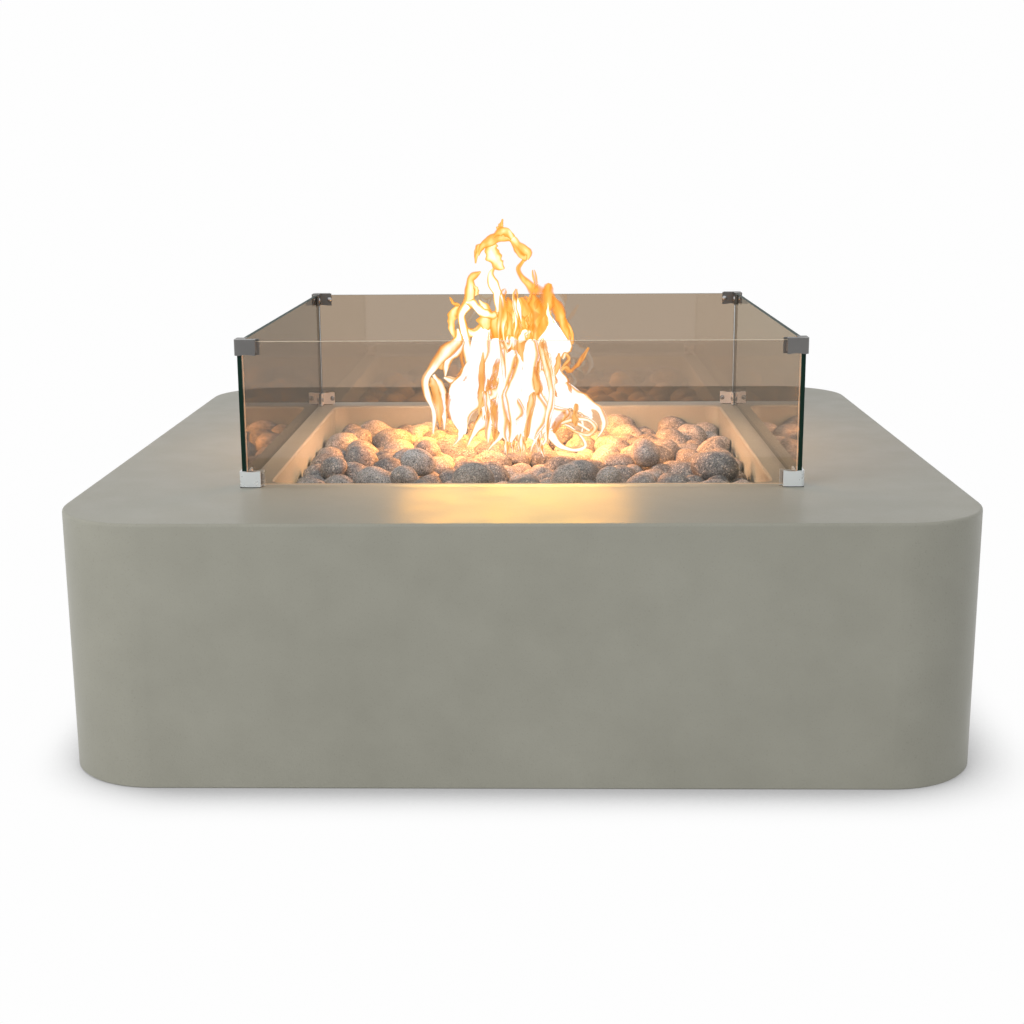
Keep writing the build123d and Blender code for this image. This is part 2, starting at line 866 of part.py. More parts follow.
pane_inset = clip_wall + liner
glass_x = guard_width / 2 - pane_inset
glass_y = guard_depth / 2 - pane_inset
clip_depth = 2 * pane_inset + glass
guard_foot = top + foot_pad
glass_foot = guard_foot + clip_floor + liner
guard_top = glass_foot + glass_height + liner + clip_floor

for side, name in ((-1, "glass_left"), (1, "glass_right")):
    with BuildPart() as pane:
        with Locations((side * (glass_x - glass / 2), 0, glass_foot + glass_height / 2)):
            Box(glass, 2 * glass_y, glass_height)
    save(pane.part, name)

for side, name in ((-1, "glass_front"), (1, "glass_back")):
    with BuildPart() as pane:
        with Locations((0, side * (glass_y - glass / 2), glass_foot + glass_height / 2)):
            Box(2 * (glass_x - glass - glass_joint), glass, glass_height)
    save(pane.part, name)


def angle_strip(start, thickness, end):
    """An L in plan along two outer faces: it starts that far in from them, and its legs run to end."""
    with BuildSketch() as strip:
        with Locations((-start, -start)):
            Rectangle(end - start, thickness, align=(Align.MAX, Align.MAX))
            Rectangle(thickness, end - start, align=(Align.MAX, Align.MAX))
    return strip.sketch


# The clip of the right back corner at the guard's foot, with its outer corner at the origin:
# a channel of two plates, the inner one longer, with a shallow scoop in its free edges.
inner_leg = clip_leg + clip_reach
scoop_width = inner_leg - 2 * clip_scoop_start
scoop_radius = scoop_width**2 / 8 / clip_scoop + clip_scoop / 2
scoop_middle = clip_scoop_start + scoop_width / 2
with BuildPart() as corner_clip:
    with BuildSketch():
        add(angle_strip(0, clip_depth, clip_leg))
        fillet(vertices().sort_by(Axis((0, 0, 0), (1, 1, 0)))[-1], clip_radius)
    extrude(amount=clip_height)
    with BuildSketch(Plane.XY.offset(clip_floor)):
        add(angle_strip(clip_wall, clip_depth - 2 * clip_wall, clip_leg + clip_wall))
    extrude(amount=clip_height, mode=Mode.SUBTRACT)
    with BuildSketch():
        add(angle_strip(clip_depth - clip_wall, clip_wall, inner_leg))
        chamfer(vertices().group_by(Axis.X)[0] + vertices().group_by(Axis.Y)[0], clip_end)
    extrude(amount=clip_height)
    for x, y, turn in (
        (-scoop_middle, -clip_depth / 2, (90, 0, 0)),
        (-clip_depth / 2, -scoop_middle, (0, 90, 0)),
    ):
        with Locations((x, y, clip_height - clip_scoop + scoop_radius)):
            Cylinder(scoop_radius, clip_depth + clip_wall, rotation=turn, mode=Mode.SUBTRACT)

# rubber channel between the clip and the glass
with BuildPart() as clip_liner:
    with BuildSketch(Plane.XY.offset(clip_floor)):
        add(angle_strip(clip_wall, clip_depth - 2 * clip_wall, clip_leg))
    extrude(amount=clip_height - 2 * clip_floor - clip_scoop)
    with BuildSketch(Plane.XY.offset(clip_floor + liner)):
        add(angle_strip(pane_inset, glass, clip_leg + liner))
    extrude(amount=clip_height, mode=Mode.SUBTRACT)

with BuildPart() as foot:
    with BuildSketch(Plane.XY.offset(-foot_pad)):
        add(angle_strip(foot_pad_inset, clip_depth - 2 * foot_pad_inset, clip_leg - foot_pad_inset))
    extrude(amount=foot_pad)


def to_corner(piece, right, back, upper):
    """A piece of the right back lower corner, mirrored and moved to another corner of the guard."""
    if upper:
        piece = piece.mirror(Plane.XY)
    if not right:
        piece = piece.mirror(Plane.YZ)
    if not back:
        piece = piece.mirror(Plane.XZ)
    x = guard_width / 2 if right else -guard_width / 2
    y = guard_depth / 2 if back else -guard_depth / 2
    return Location((x, y, guard_top if upper else guard_foot)) * piece


plan_corners = [(right, back) for right in (False, True) for back in (False, True)]
for piece, upper, label in (
    (corner_clip.part, False, "clips_bottom"),
    (corner_clip.part, True, "clips_top"),
    (clip_liner.part, False, "liners_bottom"),
    (clip_liner.part, True, "liners_top"),
    (foot.part, False, "guard_feet"),
):
    with BuildPart() as group:
        for right, back in plan_corners:
            add(to_corner(piece, right, back, upper))
    save(group.part, label)

# ---------------------------------------------------------------- flame envelope

with BuildPart() as flame:
    for (share, radius), (next_share, next_radius) in zip(flame_radii, flame_radii[1:]):
        step = (next_share - share) * flame_height
        with BuildSketch(Plane.XY.offset(flame_foot + share * flame_height)):
            RegularPolygon(radius, flame_sides, major_radius=False)
        extrude(amount=step, taper=degrees(atan((radius - next_radius) / step)))
save(flame.part, "flame")
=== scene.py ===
# %% [markdown]
# # A concrete gas fire table with a glass wind guard
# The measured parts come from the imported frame. This file gives each of them its
# finish, and adds what is too fine or too soft for the frame: the pebbles one by
# one, the flame, the small screws, the studio floor, the light and the camera.
# %% Load the frame
from math import cos, pi, radians, sin

import bpy
import numpy as np
from mathutils import Matrix, Vector


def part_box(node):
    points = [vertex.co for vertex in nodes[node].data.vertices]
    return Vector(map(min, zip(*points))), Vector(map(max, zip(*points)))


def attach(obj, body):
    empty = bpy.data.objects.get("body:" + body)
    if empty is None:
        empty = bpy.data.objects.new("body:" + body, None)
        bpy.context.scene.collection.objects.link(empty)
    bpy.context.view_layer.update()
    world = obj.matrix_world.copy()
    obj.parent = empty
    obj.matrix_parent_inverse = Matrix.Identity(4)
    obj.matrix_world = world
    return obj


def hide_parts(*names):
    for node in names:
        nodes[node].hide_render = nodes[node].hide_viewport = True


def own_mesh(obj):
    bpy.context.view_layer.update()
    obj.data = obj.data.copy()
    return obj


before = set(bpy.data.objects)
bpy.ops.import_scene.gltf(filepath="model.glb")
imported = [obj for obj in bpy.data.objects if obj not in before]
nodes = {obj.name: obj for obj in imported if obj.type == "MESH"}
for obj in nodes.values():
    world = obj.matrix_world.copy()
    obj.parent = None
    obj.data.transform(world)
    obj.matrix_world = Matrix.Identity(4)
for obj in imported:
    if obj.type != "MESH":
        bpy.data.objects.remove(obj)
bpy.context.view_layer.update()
print("frame nodes:", len(nodes))

# %% [markdown]
# ## Camera
# A product picture is taken from a little above the table top, straight at one
# wall. A Blender camera looks down its own -Z, so it is first tipped up from the
# floor by 90 degrees less its downward pitch, then turned by its yaw.
# %% Camera
camera_at = Vector((0.0321, -2.5137, 0.8005))
yaw, pitch, roll = radians(1.21), radians(12.71), radians(0.34)
camera_data = bpy.data.cameras.new("camera")
camera_data.lens = 54.8
camera_data.sensor_width = 36.0
camera = bpy.data.objects.new("camera", camera_data)
bpy.context.scene.collection.objects.link(camera)
turn = Matrix.Rotation(yaw, 4, "Z") @ Matrix.Rotation(pi / 2 - pitch, 4, "X")
camera.matrix_world = (
    Matrix.Translation(camera_at) @ turn @ Matrix.Rotation(-roll, 4, "Z")
)
bpy.context.scene.camera = camera
bpy.context.scene.view_settings.view_transform = "Standard"
print("camera at", tuple(camera_at))

# %% [markdown]
# ## Helpers for materials
# Every finish below is a small tree of nodes. add() makes one node: a plain value
# is set on its socket, and another node's output is linked to it.
# %% Node helpers
def tree_of(name):
    """A new material's empty node tree."""
    material = bpy.data.materials.new(name)
    material.use_nodes = True
    material.node_tree.nodes.clear()
    return material, material.node_tree


def add(tree, kind, links=None, **settings):
    """One node, with its settings and what goes into its sockets."""
    node = tree.nodes.new("ShaderNode" + kind)
    for key, value in settings.items():
        setattr(node, key, value)
    for key, value in (links or {}).items():
        if isinstance(value, bpy.types.NodeSocket):
            tree.links.new(value, node.inputs[key])
        else:
            node.inputs[key].default_value = value
    return node


def ramp(tree, factor, *stops):
    """A colour ramp through (place, colour) stops."""
    node = add(tree, "ValToRGB", {"Fac": factor})
    stripe = node.color_ramp
    while len(stripe.elements) < len(stops):
        stripe.elements.new(0.5)
    for element, (place, colour) in zip(stripe.elements, stops):
        element.position = place
        element.color = (*colour, 1.0)
    return node.outputs["Color"]


def noise(tree, scale, detail=4.0, stretch=(1, 1, 1)):
    """Noise on the object's own coordinates, stretched along an axis if asked."""
    place = add(tree, "TexCoord").outputs["Object"]
    if stretch != (1, 1, 1):
        place = add(tree, "Mapping", {"Vector": place, "Scale": stretch}).outputs[0]
    return add(
        tree, "TexNoise", {"Vector": place, "Scale": scale, "Detail": detail}
    ).outputs["Fac"]


def span(tree, value, low, high, a=0.35, b=0.65):
    """value between a and b becomes low to high."""
    return add(
        tree,
        "MapRange",
        {"Value": value, "From Min": a, "From Max": b, "To Min": low, "To Max": high},
    ).outputs["Result"]


def bump(tree, height, distance, strength=1.0):
    """A normal that raises the surface by height, in metres."""
    return add(
        tree, "Bump", {"Height": height, "Distance": distance, "Strength": strength}
    ).outputs["Normal"]


def principled(tree, links):
    """The Principled shader on the material's output."""
    shader = add(tree, "BsdfPrincipled", links)
    add(tree, "OutputMaterial", {"Surface": shader.outputs[0]})
    return shader


print("helpers ready")

# %% [markdown]
# ## Metals, rubber and plastic
# A machined or rolled metal is never one flat grey: its colour drifts a little,
# and its roughness more. Rolled sheet has its grain along one axis, so the noise
# is stretched there; a cast or plated piece has even noise.
# %% Simple finishes
def worked(name, dark, light, rough, metal, scale=60, stretch=(1, 1, 1), deep=0.0002):
    """Two tones mixed by noise, a roughness that drifts, and a shallow bump."""
    material, tree = tree_of(name)
    grain = noise(tree, scale, 6.0, stretch)
    cloud = noise(tree, scale / 8, 3.0)
    principled(
        tree,
        {
            "Base Color": ramp(tree, cloud, (0.3, dark), (0.7, light)),
            "Roughness": span(tree, grain, rough * 0.8, rough * 1.25),
            "Metallic": metal,
            "Normal": bump(tree, grain, deep),
        },
    )
    return material


finishes = {
    "stainless": worked(
        "stainless", (0.36, 0.35, 0.34), (0.50, 0.49, 0.47), 0.34, 1.0, 90, (1, 14, 14)
    ),
    "lava_rock": worked(
        "lava_rock", (0.028, 0.024, 0.022), (0.11, 0.09, 0.08), 0.95, 0.0, 160, deep=0.004
    ),
    "black_pipe": worked(
        "black_pipe", (0.022, 0.022, 0.024), (0.05, 0.05, 0.052), 0.55, 0.6, 120
    ),
    "zinc_steel": worked(
        "zinc_steel", (0.42, 0.43, 0.44), (0.60, 0.61, 0.62), 0.38, 1.0, 140
    ),
    "brass": worked("brass", (0.52, 0.36, 0.13), (0.66, 0.48, 0.20), 0.30, 1.0, 110),
    "aluminium_tube": worked(
        "aluminium_tube", (0.58, 0.58, 0.58), (0.72, 0.72, 0.72), 0.36, 1.0, 90, (14, 1, 14)
    ),
    "panel_steel": worked(
        "panel_steel", (0.016, 0.016, 0.017), (0.028, 0.028, 0.030), 0.48, 0.0, 900
    ),
    "rubber_seal": worked(
        "rubber_seal", (0.018, 0.018, 0.018), (0.032, 0.032, 0.031), 0.75, 0.0, 300
    ),
    "spring_steel": worked(
        "spring_steel", (0.40, 0.40, 0.41), (0.55, 0.55, 0.56), 0.28, 1.0, 200
    ),
    "black_plastic": worked(
        "black_plastic", (0.014, 0.014, 0.015), (0.024, 0.024, 0.025), 0.42, 0.0, 1400, deep=0.0001
    ),
    "ceramic": worked("ceramic", (0.74, 0.72, 0.68), (0.82, 0.80, 0.77), 0.35, 0.0, 200),
    "copper_tube": worked(
        "copper_tube", (0.52, 0.24, 0.13), (0.68, 0.34, 0.20), 0.32, 1.0, 120
    ),
    "lead_sleeve": worked(
        "lead_sleeve", (0.030, 0.028, 0.028), (0.055, 0.052, 0.050), 0.62, 0.0, 500
    ),
    "clip_metal": worked(
        "clip_metal", (0.80, 0.845, 0.87), (0.86, 0.905, 0.93), 0.32, 0.5, 40, deep=0.0
    ),
    "clear_rubber": worked(
        "clear_rubber", (0.45, 0.44, 0.42), (0.58, 0.57, 0.55), 0.35, 0.0, 200
    ),
    "foot_rubber": worked(
        "foot_rubber", (0.05, 0.05, 0.05), (0.08, 0.08, 0.08), 0.70, 0.0, 300
    ),
}
print("simple finishes:", len(finishes))

# %% [markdown]
# ## Cast concrete
# Glass-fibre concrete comes out of a polished mould and is sealed. Up close it has
# fine pores and faint clouds where the mix dried unevenly, and a satin sheen. The
# clouds are two noises of different size; the pores are a few specks, darkened as
# painted shade in them, that also dip in the bump.
# %% Concrete
def concrete_finish():
    """Warm grey clouds, fine specks of painted shade in the pores, and a satin roughness."""
    material, tree = tree_of("concrete")
    cloud = noise(tree, 3.2, 5.0)
    haze = noise(tree, 17.0, 6.0)
    grain = noise(tree, 420.0, 3.0)
    tone = add(
        tree, "Mix", {0: 0.4, 2: cloud, 3: haze}, data_type="FLOAT"
    ).outputs[0]
    base = ramp(
        tree, tone, (0.30, (0.306, 0.300, 0.252)), (0.70, (0.361, 0.354, 0.301))
    )
    # the pores are darkened a little as painted shade
    pore_shade = span(tree, grain, 0.90, 1.0, 0.28, 0.42)
    colour = add(
        tree, "Mix", {0: 1.0, 6: base, 7: pore_shade}, data_type="RGBA", blend_type="MULTIPLY"
    ).outputs[2]
    principled(
        tree,
        {
            "Base Color": colour,
            "Roughness": span(tree, haze, 0.33, 0.42),
            "Specular IOR Level": 0.13,
            "Normal": bump(tree, grain, 0.0003, 0.5),
        },
    )
    return material


finishes["concrete"] = concrete_finish()
print("concrete done")

# %% [markdown]
# ## Tinted glass
# A pane sends back more light the flatter it is looked at, and lets the rest
# through with a bronze tint. A thin pane needs no refraction, so each one is a
# tinted Transparent shader mixed with a Glossy one. Only the face turned to the
# viewer mirrors, so that the far face doesn't count twice. How much it mirrors is
# chosen pane by pane.
#
# Real glass has one tint all through. Here the face towards the fire has its own
# tint in each pane, and the outer face a paler one they share. That is a choice for
# the picture: the darker tints are painted shade, so the far panes look dark behind
# the fire, and the near ones stay clear in front of it. The ground edges are another
# matter. There one looks along the pane and sees its deep green, except on the front
# pane, whose edges are warm with painted fire light.
# %% Glass
# the darker inner tints of the side and back panes are painted shade; the front pane keeps the glass's
# own bronze
pane_tint_and_shade = {
    "glass_left": (0.20, 0.172, 0.14),
    "glass_right": (0.40, 0.355, 0.28),
    "glass_back": (0.385, 0.295, 0.212),
    "glass_front": (0.78, 0.71, 0.65),
}
clear_side = (0.78, 0.71, 0.65)
mirror_share = {"glass_left": 0.9, "glass_right": 1.1, "glass_back": 2.6, "glass_front": 1.35}
edge_tint_and_fire_glow = {name: (0.008, 0.026, 0.018, 1) for name in pane_tint_and_shade}
# the front pane's warm edge colour is painted fire light, not the glass's green
edge_tint_and_fire_glow["glass_front"] = (0.80, 0.66, 0.48, 1)


def pane_finish(name, across, inward):
    """A tinted pane; across is the index of its thin axis, and inward says which way
    along that axis the fire is."""
    material, tree = tree_of(name)
    geometry = add(tree, "NewGeometry")
    fresnel = add(tree, "Fresnel", {"IOR": 1.50}).outputs[0]
    front = add(
        tree, "Math", {0: 1.0, 1: geometry.outputs["Backfacing"]}, operation="SUBTRACT"
    ).outputs[0]
    facing = add(
        tree, "Math", {0: fresnel, 1: front}, operation="MULTIPLY"
    ).outputs[0]
    mirrored = add(
        tree, "Math", {0: facing, 1: mirror_share[name]}, operation="MULTIPLY", use_clamp=True
    ).outputs[0]
    normal = add(tree, "TexCoord").outputs["Normal"]
    parts = add(tree, "SeparateXYZ", {0: normal})
    inner = add(
        tree, "Math", {0: parts.outputs[across], 1: inward}, operation="MULTIPLY", use_clamp=True
    ).outputs[0]
    seen = ramp(tree, inner, (0.0, clear_side), (1.0, pane_tint_and_shade[name]))
    tint = add(tree, "Mix", {0: front, 6: (1, 1, 1, 1), 7: seen}, data_type="RGBA").outputs[2]
    clear = add(tree, "BsdfTransparent", {"Color": tint}).outputs[0]
    mirror = add(
        tree, "BsdfGlossy", {"Color": (0.95, 0.93, 0.90, 1), "Roughness": 0.03}
    ).outputs[0]
    body = add(tree, "MixShader", {0: mirrored, 1: clear, 2: mirror}).outputs[0]
    flat = add(
        tree, "Math", {0: parts.outputs[across]}, operation="ABSOLUTE"
    ).outputs[0]
    on_edge = add(tree, "Math", {0: flat, 1: 0.5}, operation="LESS_THAN").outputs[0]
    edge = add(
        tree,
        "BsdfPrincipled",
        {"Base Color": edge_tint_and_fire_glow[name], "Roughness": 0.45, "Specular IOR Level": 0.06},
    ).outputs[0]
    surface = add(tree, "MixShader", {0: on_edge, 1: body, 2: edge}).outputs[0]
    add(tree, "OutputMaterial", {"Surface": surface})
    return material


panes = {
    name: pane_finish(name, across, inward)
    for name, across, inward in (
        ("glass_left", 0, 1),
        ("glass_right", 0, -1),
        ("glass_back", 1, -1),
        ("glass_front", 1, 1),
    )
}
print("panes:", len(panes))

# %% [markdown]
# ## Finishes on the measured parts
# Each frame node already names its finish in its material slots. The slot's
# material is swapped for the one made here, and nothing else is touched. Each pane
# has its own glass, and the upper clips, though the same metal as the lower ones, a
# darker satin as painted shade.
# %% Dress the frame
special = {
    **panes,
    # the upper clips' darker copy of the clip metal is painted shade
    "clips_top": worked(
        "shaded_satin_clip", (0.15, 0.145, 0.14), (0.20, 0.195, 0.19), 0.38, 1.0, 40, deep=0.0
    ),
}
bare = set()
for name, node in nodes.items():
    for place in node.material_slots:
        wanted = place.material.name.split(".")[0]
        if name in special:
            place.material = special[name]
        elif wanted in finishes:
            place.material = finishes[wanted]
        else:
            bare.add(wanted)
print("slots without a finish yet:", sorted(bare))

# %% [markdown]
# ## Surfaces from two parameters
# Every new piece is a grid of points: one parameter runs along it and the other
# runs round it. closed_grid() turns such a grid into a mesh without holes. It
# joins the last column to the first, and closes each end with one pole.
# %% Grid to mesh
def grid_faces(rows, columns):
    """Quads between neighbouring rows, wrapping round, and a fan at each pole."""
    row, column = np.meshgrid(np.arange(rows - 1), np.arange(columns), indexing="ij")
    after = (column + 1) % columns
    quads = np.stack(
        [
            row * columns + column,
            row * columns + after,
            (row + 1) * columns + after,
            (row + 1) * columns + column,
        ],
        axis=-1,
    ).reshape(-1, 4)
    edge = np.arange(columns)
    first, last = rows * columns, rows * columns + 1
    near = np.stack([np.full(columns, first), (edge + 1) % columns, edge], axis=-1)
    far = (rows - 1) * columns + edge
    far_next = (rows - 1) * columns + (edge + 1) % columns
    end = np.stack([far, far_next, np.full(columns, last)], axis=-1)
    return quads, np.concatenate([near, end])


def many_grids(name, grids, poles, values=None):
    """One mesh from closed grids of the same size: grids is (pieces, rows, columns,
    3), poles is (pieces, 2, 3), and values maps an attribute's name to one number
    per point in the same order."""
    pieces, rows, columns, _ = grids.shape
    quads, fans = grid_faces(rows, columns)
    each = rows * columns + 2
    points = np.concatenate([grids.reshape(pieces, -1, 3), poles], axis=1)
    shift = (np.arange(pieces) * each)[:, None, None]
    quads = (quads[None] + shift).reshape(-1, 4)
    fans = (fans[None] + shift).reshape(-1, 3)
    mesh = bpy.data.meshes.new(name)
    mesh.vertices.add(pieces * each)
    mesh.vertices.foreach_set("co", points.reshape(-1))
    mesh.loops.add(quads.size + fans.size)
    mesh.loops.foreach_set(
        "vertex_index", np.concatenate([quads.reshape(-1), fans.reshape(-1)])
    )
    starts = np.concatenate(
        [np.arange(len(quads)) * 4, quads.size + np.arange(len(fans)) * 3]
    )
    mesh.polygons.add(len(starts))
    mesh.polygons.foreach_set("loop_start", starts)
    mesh.update(calc_edges=True)
    mesh.validate()
    mesh.polygons.foreach_set("use_smooth", np.ones(len(starts), bool))
    for key, numbers in (values or {}).items():
        layer = mesh.attributes.new(key, "FLOAT", "POINT")
        layer.data.foreach_set("value", numbers.reshape(-1).astype(np.float32))
    piece = bpy.data.objects.new(name, mesh)
    bpy.context.scene.collection.objects.link(piece)
    return piece


print("grid helper ready")

# %% [markdown]
# ## Pebbles
# The well is filled with tumbled lava pebbles, porous and grey, in all sizes from a
# walnut to a small potato. Laying them by hand would take for ever, so they settle
# by themselves: each pebble is a ball that sinks, and wherever two balls overlap
# they push each other apart.
# %% Let the balls settle
rng = np.random.default_rng(11)
rock_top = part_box("lava_rock_fill")[1].z
pebbles = 240
radius = 0.0165 + 0.0175 * rng.beta(1.2, 1.5, pebbles)
ball = np.stack(
    [
        rng.uniform(-0.33, 0.33, pebbles),
        rng.uniform(-0.33, 0.33, pebbles),
        rock_top + rng.uniform(0.01, 0.10, pebbles),
    ],
    axis=1,
)
reach, well_half, pile_top = 0.352, 0.3535, 0.366
steps, sink, touching, push = 420, 0.0008, 0.97, 0.42
for step in range(steps):
    ball[:, 2] -= sink
    apart = ball[:, None] - ball[None]
    far = np.sqrt((apart**2).sum(-1)) + np.eye(pebbles)
    overlap = np.clip(touching * (radius[:, None] + radius[None]) - far, 0, None)
    overlap[np.arange(pebbles), np.arange(pebbles)] = 0
    ball += (apart / far[..., None] * overlap[..., None]).sum(1) * push
    ball[:, :2] = np.clip(
        ball[:, :2], -reach + radius[:, None] * 0.92, reach - radius[:, None] * 0.92
    )
    ball[:, 2] = np.clip(ball[:, 2], rock_top + radius * 0.72, pile_top - radius * 0.8)
print("pebbles:", pebbles, "highest", round(float((ball[:, 2] + radius).max()), 4))

# %% [markdown]
# A ball becomes a pebble when it is squeezed along one axis and its surface
# swells and dips a little. The swelling is a sum of slow sine waves of the
# direction, with other numbers for every pebble, so no two are alike.
# %% Pebble shapes
def pebble_points(directions, waves, phases, lengths, spins):
    """direction times (1 plus slow sines of it), scaled by three half lengths, then
    turned by the pebble's own rotation."""
    swell = 1 + 0.05 * np.sin(np.einsum("rk,pwk->prw", directions, waves) + phases).sum(-1)
    points = directions[None] * swell[..., None] * lengths[:, None]
    return np.einsum("pij,prj->pri", spins, points)


rows, columns = 9, 15
polar = np.pi * (np.arange(rows) + 1) / (rows + 1)
round_ = 2 * np.pi * np.arange(columns) / columns
ring_points = np.stack(
    [
        np.sin(polar)[:, None] * np.cos(round_),
        np.sin(polar)[:, None] * np.sin(round_),
        np.repeat(-np.cos(polar)[:, None], columns, 1),
    ],
    axis=-1,
).reshape(-1, 3)
directions = np.concatenate([ring_points, [[0, 0, -1], [0, 0, 1]]])
waves = rng.normal(0, 1.5, (pebbles, 4, 3))
phases = rng.uniform(0, 2 * np.pi, (pebbles, 1, 4))
lengths = radius[:, None] * np.stack(
    [
        rng.uniform(1.0, 1.22, pebbles),
        rng.uniform(0.86, 1.02, pebbles),
        rng.uniform(0.70, 0.88, pebbles),
    ],
    axis=1,
)
yaws, tips = rng.uniform(0, 2 * np.pi, pebbles), rng.normal(0, 0.30, (pebbles, 2))
spins = np.array(
    [
        (
            Matrix.Rotation(a, 3, "Z") @ Matrix.Rotation(b, 3, "X") @ Matrix.Rotation(c, 3, "Y")
        )
        for a, (b, c) in zip(yaws, tips)
    ]
)
shapes = pebble_points(directions, waves, phases, lengths, spins) + ball[:, None]
shapes[..., :2] = np.clip(shapes[..., :2], -well_half, well_half)
tone = np.repeat(rng.uniform(0, 1, pebbles)[:, None], len(directions), 1)
stones = many_grids(
    "pebbles",
    shapes[:, :-2].reshape(pebbles, rows, columns, 3),
    shapes[:, -2:],
    {"tone": tone},
)
print("pebble faces:", len(stones.data.polygons))

# %% [markdown]
# Lava pebbles are full of burst gas bubbles. The tumbling fills some of them with
# pale dust, so the surface shows light specks, and small pits that are darkened as
# painted shade. Voronoi cells give both, and a fine grit varies the rest. The tone
# of the whole pebble comes from its own number.
# %% Pebble finish
def pebble_finish():
    """Grey by the pebble's tone, dusted with pale specks, and pitted by cells, with painted shade in
    the pits.
    """
    material, tree = tree_of("pebble")
    place = add(tree, "TexCoord").outputs["Object"]
    own = add(tree, "Attribute", attribute_name="tone").outputs["Fac"]
    cloud = noise(tree, 70.0, 5.0)
    mixed = add(
        tree, "Mix", {0: 0.40, 2: own, 3: span(tree, cloud, 0, 1, 0.35, 0.65)},
        data_type="FLOAT",
    ).outputs[0]
    base = ramp(
        tree,
        mixed,
        (0.05, (0.180, 0.198, 0.216)),
        (0.50, (0.345, 0.364, 0.380)),
        (0.95, (0.540, 0.556, 0.566)),
    )
    cells = add(tree, "TexVoronoi", {"Vector": place, "Scale": 230.0}).outputs["Distance"]
    dust = add(
        tree,
        "Math",
        {0: span(tree, cells, 1.0, 0.0, 0.22, 0.42), 1: span(tree, cloud, 0.1, 1.0)},
        operation="MULTIPLY",
    ).outputs[0]
    dusted = add(
        tree, "Mix", {0: dust, 6: base, 7: (0.74, 0.70, 0.64, 1)}, data_type="RGBA"
    ).outputs[2]
    pits = add(tree, "TexVoronoi", {"Vector": place, "Scale": 140.0}).outputs["Distance"]
    # the pits are darkened as painted shade, and the same cells sink them in the bump
    pit_depth_and_shade = span(tree, pits, 0.42, 1.0, 0.10, 0.26)
    grit = span(tree, noise(tree, 520.0, 2.0), 0.55, 1.30, 0.38, 0.62)
    pit_shade_and_grit = add(tree, "Math", {0: pit_depth_and_shade, 1: grit}, operation="MULTIPLY").outputs[0]
    colour = add(
        tree, "Mix", {0: 1.0, 6: dusted, 7: pit_shade_and_grit}, data_type="RGBA", blend_type="MULTIPLY"
    ).outputs[2]
    principled(
        tree,
        {
            "Base Color": colour,
            "Roughness": span(tree, cloud, 0.62, 0.85),
            "Normal": bump(tree, pit_depth_and_shade, 0.0012),
        },
    )
    return material


stones.data.materials.append(pebble_finish())
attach(stones, "table")
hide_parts("stone_bed")
print("pebbles stand in for stone_bed")

# %% [markdown]
# ## Flame
# A gas flame over a long burner is a stack of thin burning sheets that the draught
# folds, tears and pulls into strands. Each strand here is a flattened tube whose
# middle line is a smooth curve. It is white-hot along its middle and turns yellow,
# then orange, towards its edges and its tip: that heat is kept as a number at each
# point, the attribute warmth, so it stays with the strand from every side.
# %% Strand shape
def smooth_line(points, count):
    """A Catmull-Rom curve through the points, as count even steps of its parameter."""
    points = np.asarray(points, float)
    ends = np.concatenate([[2 * points[0] - points[1]], points, [2 * points[-1] - points[-2]]])
    t = np.linspace(0, len(points) - 1, count)
    i = np.minimum(t.astype(int), len(points) - 2)
    u = (t - i)[:, None]
    a, b, c, d = ends[i], ends[i + 1], ends[i + 2], ends[i + 3]
    return 0.5 * (
        2 * b + (c - a) * u + (2 * a - 5 * b + 4 * c - d) * u**2 + (3 * b - a - 3 * c + d) * u**3
    )


def strand(line, azimuth, turn, thin, foot, heat, rim, seed, steps=32, around=12):
    """A flattened tube. line holds (across, up, away, half width); the strand lies in
    the upright plane at the azimuth, turned about its own line by turn radians from
    foot to tip, and its foot starts at that share of its width. Returns its grid,
    poles and heat."""
    wander = np.random.default_rng(seed)
    path = smooth_line(line, steps)
    across = np.array([cos(azimuth), sin(azimuth), 0])
    away = np.array([-sin(azimuth), cos(azimuth), 0])
    middle = (
        path[:, :1] * across + path[:, 2:3] * away + path[:, 1:2] * np.array([0, 0, 1])
    )
    along = np.gradient(middle, axis=0)
    along /= np.linalg.norm(along, axis=1)[:, None] + 1e-9
    side = np.cross(along, away)
    side /= np.linalg.norm(side, axis=1)[:, None] + 1e-9
    out = np.cross(along, side)
    s = np.linspace(0, 1, steps)
    angle = turn * s + 0.35 * np.sin(2 * np.pi * (s * 1.5 + wander.uniform()))
    wide = np.cos(angle)[:, None] * side + np.sin(angle)[:, None] * out
    deep = -np.sin(angle)[:, None] * side + np.cos(angle)[:, None] * out
    half = np.maximum(path[:, 3], 0.0004)
    swell = 0.13 * np.sin(2 * np.pi * (s * wander.uniform(1.5, 3) + wander.uniform()))
    flutter = 0.06 * np.sin(2 * np.pi * (s * wander.uniform(4, 7) + wander.uniform()))
    half = half * (1 + swell + flutter) * (foot + (1 - foot) * np.minimum(s / 0.16, 1) ** 0.7)
    phi = 2 * np.pi * np.arange(around) / around
    rough = 1 + 0.09 * np.sin(
        2 * np.pi * (s[:, None] * wander.uniform(2, 5) + wander.uniform()) + np.sign(np.cos(phi)) * 1.7
    )
    sway = np.sin(3 * s + wander.uniform(0, 6))[:, None]
    curl = 0.35 * half[:, None] * (np.cos(phi)[None] ** 2 - 0.5) * sway
    grid = (
        middle[:, None]
        + (half[:, None] * rough * np.cos(phi)[None])[..., None] * wide[:, None]
        + (np.minimum(half, thin)[:, None] * np.sin(phi)[None] + curl)[..., None] * deep[:, None]
    )
    flow = np.interp(s, np.linspace(0, 1, len(heat)), heat)
    hot = flow[:, None] * (1 - np.abs(np.cos(phi))[None] ** rim)
    poles = np.stack([grid[0].mean(0), grid[-1].mean(0)])
    return grid, poles, np.concatenate([hot.reshape(-1), [0.0, 0.0]])


print("strand helper ready")
